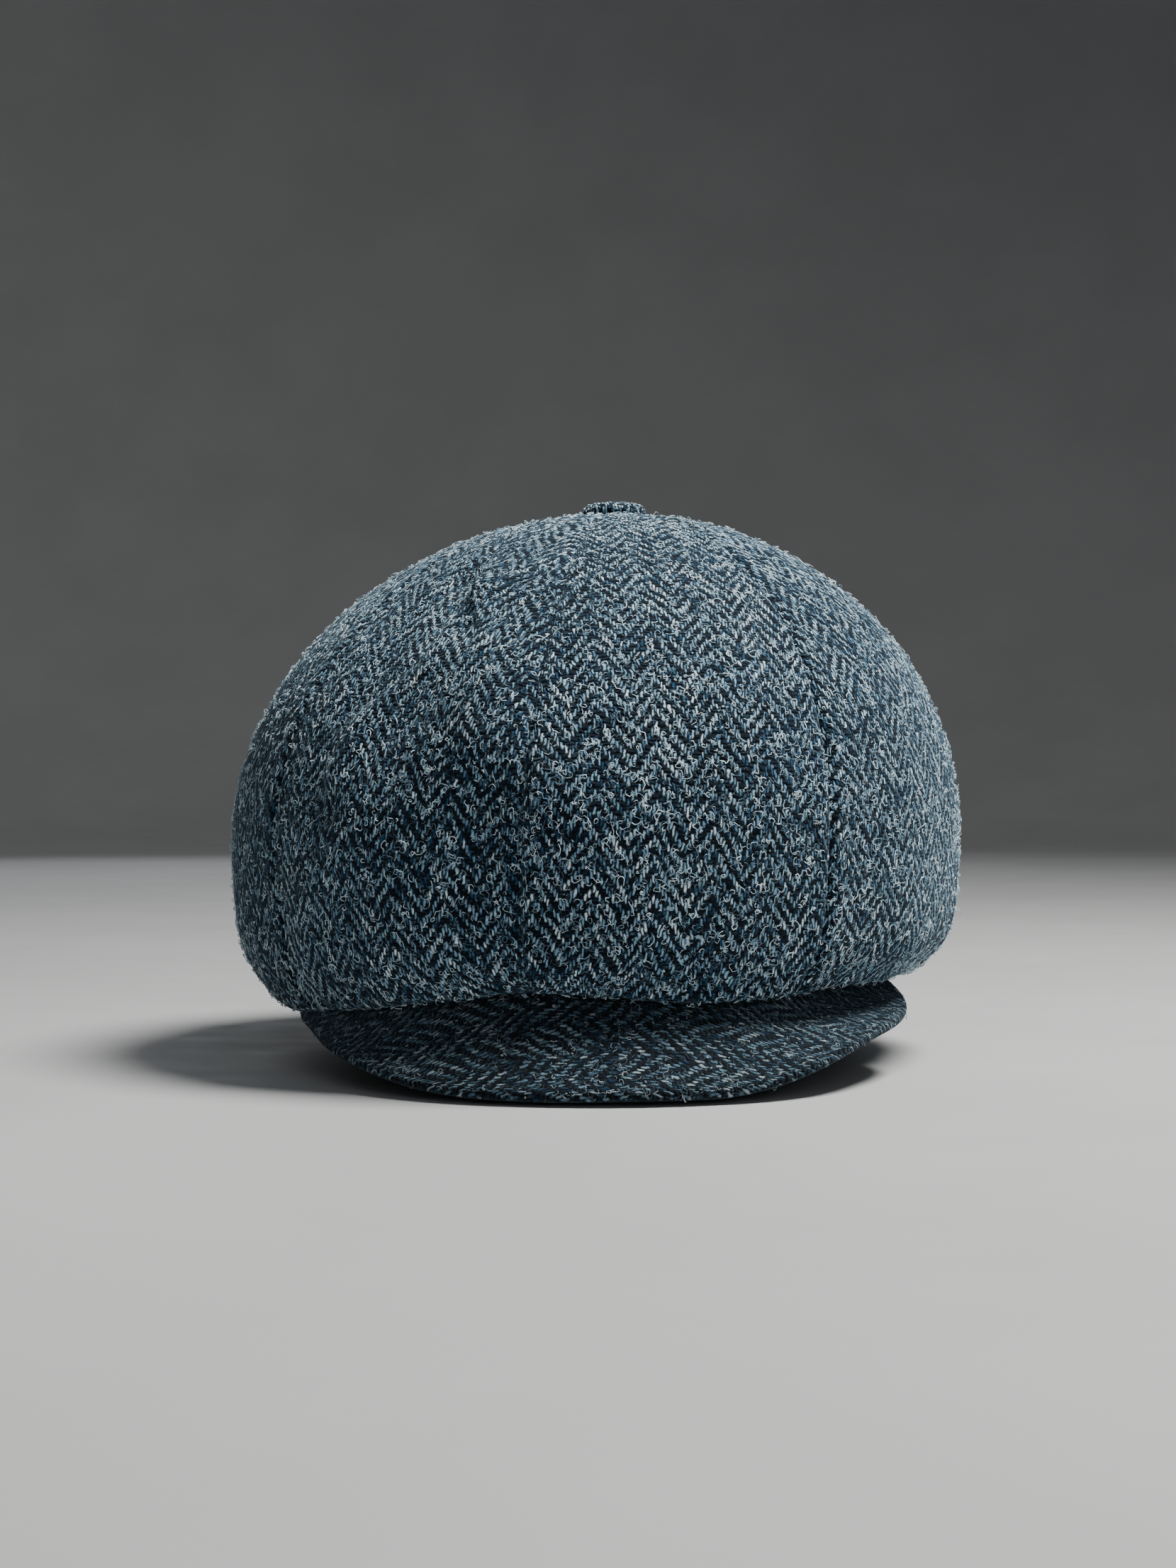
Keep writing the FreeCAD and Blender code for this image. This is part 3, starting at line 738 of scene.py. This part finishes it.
lining_offset = (1.6 * MM * (1 - (2 * lining_share - 1) ** 2) * smooth_step(5 * MM, 50 * MM, lining_radius)
                 - 0.5 * MM * bump(lining_to_seam, 1.2 * MM)
                 + soft_noise(lining_base * np.array([1.0, 1.0, 0.35]), 20 * MM, 5) * 1.0 * MM
                 * smooth_step(150 * MM, 40 * MM, lining_base[..., 2]))
lining_offset = np.minimum(lining_offset, 0.8 * MM) * smooth_step(1.96, 1.7, lining_run_grid)
lining = lining_base + lining_normal * lining_offset[..., None]
lining_out = grid_normals(lining, closed=True)
lining_out = upright(lining_out, lining_out[:, LINING_ROWS // 3, 2])
for number in range(GORES):
    start = number * (LINING_COLUMNS - 1)
    rows = np.arange(start, start + LINING_COLUMNS) % lining.shape[0]
    outer = lining[rows]
    mesh = shell_mesh(f"lining_panel_{number + 1}", outer, outer - lining_out[rows] * SATIN,
                      cloth_uv(outer, LINING_COLUMNS // 2))
    panel = new_piece(f"lining_panel_{number + 1}", mesh, lining_satin, "cap", [f"lining_gore_{number + 1}"])


# ---------------------------------------------------------------- head band and sweatband

def ring_shell(name, half, thickness, low, high, wave, seed):
    """A band of cloth round the head oval with rounded edges and slight waves."""
    azimuths = np.arange(0, 360, 1.5)
    profile = np.linspace(0, 1, 20)
    azimuth, share = np.meshgrid(azimuths, profile, indexing="ij")
    level = low + (high - low) * share
    angle = np.radians(azimuth)
    tuck = thickness * 0.45 * (bump(share, 0.035) + bump(share - 1, 0.035))
    rough = np.stack([np.cos(angle), np.sin(angle), level * 9], -1)
    ripple = wave * soft_noise(rough * 60 * MM, 9 * MM, seed)
    outward = unit(np.stack([np.sin(angle) / half[0], -np.cos(angle) / half[1], np.zeros_like(angle)], -1))
    middle = np.stack([half[0] * np.sin(angle), -half[1] * np.cos(angle), level], -1)
    outer = middle + outward * (ripple - tuck)[..., None]
    inner = middle + outward * (ripple - thickness + tuck)[..., None]
    return shell_mesh(name, outer, inner, cloth_uv(outer, 0), closed=True)


band_mesh = ring_shell("band_cloth", BAND_HALF, 1.7 * MM, band_low.z, band_high.z, 0.05 * MM, 3)
band = new_piece("band_cloth", band_mesh, crown_tweed, "cap", ["head_band"])
sweat_mesh = ring_shell("sweatband_tape", HEAD_HALF + 1.1 * MM, 1.0 * MM, sweat_low.z, sweat_high.z, 0.06 * MM, 4)
sweat = new_piece("sweatband_tape", sweat_mesh, sweat_tape, "cap", ["sweatband"])


def stitch_mesh(name, points, directions, outward, length=2.1 * MM, thick=0.22 * MM):
    """A row of stitches: short rounded threads lying along the directions."""
    sides, rings = 6, 5
    vertices, faces = [], []
    for point, direction, out in zip(points, directions, outward):
        side = np.cross(direction, out)
        base = len(vertices)
        for k in range(rings):
            along = k / (rings - 1) * 2 - 1
            radius = thick * math.sqrt(max(1 - along ** 4, 0.06))
            centre = point + direction * (along * length / 2) - out * (abs(along) ** 3 * thick * 1.2)
            for j in range(sides):
                angle = 2 * math.pi * j / sides
                vertices.append(centre + (out * math.cos(angle) + side * math.sin(angle)) * radius)
        for k in range(rings - 1):
            for j in range(sides):
                a, b = base + k * sides + j, base + k * sides + (j + 1) % sides
                faces.append([a, b, b + sides, a + sides])
        faces.append([base + j for j in reversed(range(sides))])
        faces.append([base + (rings - 1) * sides + j for j in range(sides)])
    mesh = bpy.data.meshes.new(name)
    mesh.from_pydata([tuple(v) for v in vertices], [], faces)
    mesh.polygons.foreach_set("use_smooth", np.ones(len(mesh.polygons), bool))
    mesh.validate()
    return mesh


def oval_stitches(name, half, level, pitch, inward):
    """Stitches all round an oval at one level, on its inner or outer face."""
    fine = np.linspace(0, 2 * math.pi, 4000)
    line = np.stack([half[0] * np.sin(fine), -half[1] * np.cos(fine)], -1)
    length = np.concatenate([[0], np.cumsum(np.linalg.norm(np.diff(line, axis=0), axis=1))])
    count = int(length[-1] / pitch)
    angle = np.interp(np.arange(count) * length[-1] / count, length, fine)
    points = np.stack([half[0] * np.sin(angle), -half[1] * np.cos(angle), np.full(count, level)], -1)
    directions = unit(np.stack([half[0] * np.cos(angle), half[1] * np.sin(angle), np.zeros(count)], -1))
    outward = unit(np.stack([np.sin(angle) / half[0], -np.cos(angle) / half[1], np.zeros(count)], -1))
    return stitch_mesh(name, points, directions, outward * (-1 if inward else 1))


for name, level in (("sweatband_stitches_low", sweat_low.z + 2.4 * MM), ("sweatband_stitches_high",
                                                                         sweat_high.z - 2.0 * MM)):
    stitches = oval_stitches(name, HEAD_HALF + 0.05 * MM, level, 3.2 * MM, inward=True)
    new_piece(name, stitches, pale_thread, "cap")


# ---------------------------------------------------------------- visor

def visor_frame(azimuth):
    """Root point, outward direction and reach of the visor at an azimuth."""
    angle = np.radians(azimuth)
    outward = unit(np.stack([np.sin(angle) / VISOR_ROOT_HALF[0], -np.cos(angle) / VISOR_ROOT_HALF[1],
                             np.zeros_like(angle)], -1))
    root = np.stack([VISOR_ROOT_HALF[0] * np.sin(angle), -VISOR_ROOT_HALF[1] * np.cos(angle),
                     np.full_like(angle, VISOR_ROOT_LEVEL)], -1)
    body = VISOR_SIDE_REACH + (VISOR_REACH - VISOR_SIDE_REACH) * smooth_step(88, 14, np.abs(azimuth))
    body = body + 6 * MM * smooth_step(40, 66, azimuth) + 4 * MM * smooth_step(-52, -68, azimuth)
    rounding = np.sqrt(1 - (azimuth / VISOR_HALF_ANGLE) ** 12)
    return root, outward, VISOR_END_REACH + (body - VISOR_END_REACH) * rounding


def visor_point(azimuth, distance, offset):
    """A point at a distance along the visor from its root, offset square to it. Its +X side curls up."""
    root, outward, reach = visor_frame(azimuth)
    steps = 60
    shares = (np.arange(steps) + 0.5) / steps
    along = distance[..., None] * shares
    part = along / reach[..., None]
    curl = (math.radians(21) * (smooth_step(12, 44, azimuth))[..., None] * smooth_step(0.25, 0.8, part)
            + math.radians(9) * bump(azimuth + 36, 13)[..., None] * smooth_step(0.4, 1.0, part))
    slope = VISOR_SLOPE - curl
    forward = np.cos(slope).mean(-1) * distance
    down = np.sin(slope).mean(-1) * distance
    last = slope[..., -1]
    up = np.array([0, 0, 1.0])
    square = outward * np.sin(last)[..., None] + up * np.cos(last)[..., None]
    return root + outward * forward[..., None] - up * down[..., None] + square * offset[..., None]


def visor_waves(azimuth, share):
    """Slight unevenness of the visor: soft lumps, and a shallow hollow to the right of the middle."""
    points = np.stack([azimuth / 14, share * 3, np.zeros_like(azimuth)], -1)
    lumps = 0.45 * MM * soft_noise(points, 1.0, 8)
    hollow = -1.3 * MM * bump(azimuth - 46, 12) * bump(share - 0.6, 0.28)
    return (lumps + hollow) * smooth_step(0, 0.3, share)


VISOR_LIMIT = VISOR_HALF_ANGLE - 0.4
visor_azimuths = np.linspace(-VISOR_LIMIT, VISOR_LIMIT, 181)
HALF_THICK = 2.3 * MM
TOP_EDGE_TURN = 115
UNDER_EDGE_TURN = 62
COVER = 1.0 * MM
VISOR_WEAVE_STRETCH = 0.82
VISOR_HAIRS = 1100


def visor_cover(name, top):
    """One cover of the visor: from the band, down the slope and round the edge to the seam on its underside."""
    flat = np.linspace(0, 1, 46)
    turn = np.linspace(0, 1, 9)[1:]
    _, _, reach = visor_frame(visor_azimuths)
    rows_outer, rows_inner, rows_share = [], [], []
    sign = 1 if top else -1
    edge_turn = TOP_EDGE_TURN if top else UNDER_EDGE_TURN
    for share in flat:
        distance = (reach - HALF_THICK) * share
        root_lift = 1.0 - 0.35 * math.exp(-share * 14)
        rows_outer.append((distance, np.full_like(reach, sign * HALF_THICK * root_lift)))
        rows_inner.append((distance, np.full_like(reach, sign * (HALF_THICK - COVER) * root_lift)))
        rows_share.append(share)
    for share in turn:
        angle = math.radians(edge_turn * share)
        for rows, radius in ((rows_outer, HALF_THICK), (rows_inner, HALF_THICK - COVER)):
            rows.append((reach - HALF_THICK + radius * math.sin(angle),
                         np.full_like(reach, sign * radius * math.cos(angle))))
        rows_share.append(1.0)
    grids = []
    for rows in (rows_outer, rows_inner):
        columns = []
        for (distance, offset), share in zip(rows, rows_share):
            columns.append(visor_point(visor_azimuths, distance,
                                       offset + visor_waves(visor_azimuths, np.full_like(visor_azimuths, share))))
        grids.append(np.stack(columns, 1))
    uv = grids[0][..., [0, 1]].copy()
    lengths = np.concatenate([[0], np.cumsum(np.linalg.norm(np.diff(grids[0][90], axis=0), axis=1))])
    uv[..., 0] = grids[0][..., 0]
    uv[..., 1] = -(grids[0][..., 1]) / math.cos(VISOR_SLOPE) * VISOR_WEAVE_STRETCH
    after_edge = np.maximum(np.arange(len(rows_share)) - len(flat) + 1, 0) > 0
    uv[:, after_edge, 1] += (lengths - lengths[len(flat) - 1])[after_edge]
    outer, inner = grids
    return shell_mesh(name, outer, inner, uv), outer


top_mesh, top_grid = visor_cover("visor_top_tweed", True)
under_mesh, _ = visor_cover("visor_under_tweed", False)
for mesh, node in ((top_mesh, "visor_top_cover"), (under_mesh, "visor_under_cover")):
    piece = new_piece(mesh.name, mesh, visor_tweed, None, [node])
    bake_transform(piece)

board_shares = np.linspace(0.03, 1, 12)
board_rows = np.linspace(-VISOR_LIMIT + 3, VISOR_LIMIT - 3, 81)
_, _, board_reach = visor_frame(board_rows)
board_grids = []
for side in (1, -1):
    columns = [visor_point(board_rows, (board_reach - 3.6 * MM) * share,
                           np.full_like(board_rows, side * 0.9 * MM)
                           + visor_waves(board_rows, np.full_like(board_rows, share))) for share in board_shares]
    board_grids.append(np.stack(columns, 1))
board_mesh = shell_mesh("visor_stiffener", board_grids[0], board_grids[1], board_grids[0][..., :2])
board = new_piece("visor_stiffener", board_mesh, board_material, None, ["visor_board"])
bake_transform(board)

top_normals = grid_normals(top_grid, closed=False)
top_normals = upright(top_normals, top_normals[..., 2])
visor_hairs = hair_mesh("visor_hairs", top_grid[:, 6:52], top_normals[:, 6:52], int(VISOR_HAIRS * HAIR_SHARE),
                        longest=6.0 * MM, lift=0.8 * MM)
piece = new_piece("visor_hairs", visor_hairs, visor_hair_material, None)
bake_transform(piece)


# ---------------------------------------------------------------- covered button

button_centre = np.array([(button_low.x + button_high.x) / 2, (button_low.y + button_high.y) / 2, button_low.z])
BUTTON_RADIUS = (button_high.x - button_low.x) / 2
BUTTON_HEIGHT = button_high.z - button_low.z
BUTTON_TURN = 118


def button_surface(grow):
    """The button's cloth: a low dome with gathers where the cloth turns under its rim."""
    azimuths = np.radians(np.arange(0, 360, 3.0))
    turns = np.linspace(0.02, 1.0, 34)
    azimuth, turn = np.meshgrid(azimuths, turns, indexing="ij")
    angle = np.clip(turn * BUTTON_TURN, 0, BUTTON_TURN) * math.pi / 180
    out = np.where(angle < math.pi / 2, np.sin(angle) ** 0.55, 1 - 0.5 * (1 - np.sin(angle)) * 1.2)
    height = np.where(angle < math.pi / 2, np.maximum(np.cos(angle), 0) ** 0.8, 0.0)
    gather = 1 + 0.018 * np.sin(azimuth * 26) * smooth_step(0.62, 0.8, turn)
    radius = (BUTTON_RADIUS - 0.15 * MM + grow) * out * gather
    base = 1.6 * MM
    level = base + (BUTTON_HEIGHT - base + grow) * height
    past_rim = (angle - math.pi / 2) / ((BUTTON_TURN - 90) * math.pi / 180)
    level = np.where(angle > math.pi / 2, base * (1 - past_rim), level)
    return np.stack([radius * np.sin(azimuth), -radius * np.cos(azimuth), level], -1) + button_centre


button_outer = button_surface(0.0)
button_inner = button_surface(-0.7 * MM)
button_mesh = shell_mesh("button_tweed", button_outer, button_inner,
                         (button_outer - button_centre)[..., :2], closed=True)
button = new_piece("button_tweed", button_mesh, crown_tweed, "cap", ["button_cover"])
button_normals = grid_normals(button_outer, closed=True)
button_normals = upright(button_normals, button_normals[..., 2])
button_hairs = hair_mesh("button_hairs", button_outer[:, :26], button_normals[:, :26], int(260 * HAIR_SHARE),
                         longest=3.5 * MM, lift=0.6 * MM)
new_piece("button_hairs", button_hairs, hair_material, "cap")

for node, material in (("button_shell", steel_material), ("button_back", steel_material),
                       ("button_shank", thread_material), ("band_stiffener", buckram_material)):
    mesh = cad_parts[node].data
    mesh.materials.clear()
    mesh.materials.append(material)


# ---------------------------------------------------------------- blank labels

def patch_mesh(name, place, across, along, thick, columns=24, rows=16):
    """A small rectangle of tape; place maps across, along and depth to a point."""
    u, v = np.meshgrid(np.linspace(-across / 2, across / 2, columns), np.linspace(-along / 2, along / 2, rows),
                       indexing="ij")
    return shell_mesh(name, place(u, v, 0.0), place(u, v, thick), np.stack([u, v], -1))


label_low, label_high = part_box("lining_label")
label_centre = (label_low + label_high) / 2


def label_place(u, v, depth):
    sag = 0.25 * MM * np.sin(u * 190) * np.cos(v * 150) - 3.0 * (u ** 2 + v ** 2) * 0.5
    return np.stack([u + label_centre.x, v + label_centre.y, label_high.z - depth + sag], -1)


label_mesh = patch_mesh("blank_label", label_place, label_high.x - label_low.x, label_high.y - label_low.y,
                        label_high.z - label_low.z)
label = new_piece("blank_label", label_mesh, label_tape, "cap", ["lining_label"])

tab_low, tab_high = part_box("size_tab")
tab_centre = (tab_low + tab_high) / 2


def tab_place(u, v, depth):
    curl = 0.5 * MM * (v / (5 * MM)) ** 2
    return np.stack([u + tab_centre.x, tab_low.y + depth - curl * 0.4, v + tab_centre.z], -1)


tab_mesh = patch_mesh("blank_tab", tab_place, tab_high.x - tab_low.x, tab_high.z - tab_low.z,
                      tab_high.y - tab_low.y)
tab = new_piece("blank_tab", tab_mesh, label_tape, "cap", ["size_tab"])


# ---------------------------------------------------------------- stage, light and camera

def stage_bowl(floor_level):
    """A pale floor that curves up far from the cap on all sides."""
    angles = np.radians(np.arange(0, 360, 5.0))
    profile = [(0.001, 0), (0.5, 0), (1.5, 0), (2.6, 0)]
    for k in range(1, 13):
        turn = math.radians(90 * k / 12)
        profile.append((2.6 + 1.4 * math.sin(turn), 1.4 * (1 - math.cos(turn))))
    profile.append((4.0, 3.4))
    vertices, faces = [], []
    for angle in angles:
        for radius, level in profile:
            vertices.append((radius * math.cos(angle), radius * math.sin(angle), level + floor_level))
    columns, rows = len(profile), len(angles)
    for row in range(rows):
        for column in range(columns - 1):
            a, b = row * columns + column, (row + 1) % rows * columns + column
            faces.append((a, b, b + 1, a + 1))
    mesh = bpy.data.meshes.new("studio_floor")
    mesh.from_pydata(vertices, [], faces)
    mesh.polygons.foreach_set("use_smooth", np.ones(len(mesh.polygons), bool))
    floor = bpy.data.objects.new("studio_floor", mesh)
    bpy.context.scene.collection.objects.link(floor)
    mesh.materials.append(grained("floor paint", (0.40, 0.40, 0.40), (0.43, 0.43, 0.43), 40, 0.8, relief=0.0))


def area_light(name, place, target, size, power, colour=(1, 1, 1)):
    data = bpy.data.lights.new(name, "AREA")
    data.shape = "DISK"
    data.size = size
    data.energy = power
    data.color = colour
    lamp = bpy.data.objects.new(name, data)
    lamp.location = place
    lamp.rotation_euler = (Vector(target) - Vector(place)).to_track_quat("-Z", "Y").to_euler()
    bpy.context.scene.collection.objects.link(lamp)


stage_bowl(cad_box[0].z - 0.5 * MM)
area_light("top softbox", (0.56, -0.16, 1.25), (0.02, 0, 0.08), 0.5, 42, (1.0, 0.99, 0.97))
area_light("back fill", (-0.5, 1.9, 0.9), (0, 0, 0.04), 1.3, 5, (0.92, 0.96, 1.0))
area_light("front fill", (0.45, -2.0, 0.75), (0, 0, 0.03), 1.2, 7, (0.92, 0.96, 1.0))

world = bpy.data.worlds.new("studio")
bpy.context.scene.world = world
world.use_nodes = True
world.node_tree.nodes["Background"].inputs["Color"].default_value = (0.90, 0.95, 1.0, 1)
world.node_tree.nodes["Background"].inputs["Strength"].default_value = 0.12

CAMERA_DISTANCE = 0.827
CAMERA_LEVEL = 53 * MM
CAMERA_AZIMUTH = math.radians(-1)
camera_data = bpy.data.cameras.new("camera")
camera_data.lens = 52.1
camera_data.sensor_width = 36
camera_data.clip_start = 0.05
camera = bpy.data.objects.new("camera", camera_data)
back = Vector((math.sin(CAMERA_AZIMUTH), -math.cos(CAMERA_AZIMUTH), 0))
right = Vector((math.cos(CAMERA_AZIMUTH), math.sin(CAMERA_AZIMUTH), 0))
camera.location = back * CAMERA_DISTANCE - right * 2.2 * MM + Vector((0, 0, CAMERA_LEVEL))
camera.rotation_euler = (-back).to_track_quat("-Z", "Y").to_euler()
bpy.context.scene.collection.objects.link(camera)
bpy.context.scene.camera = camera
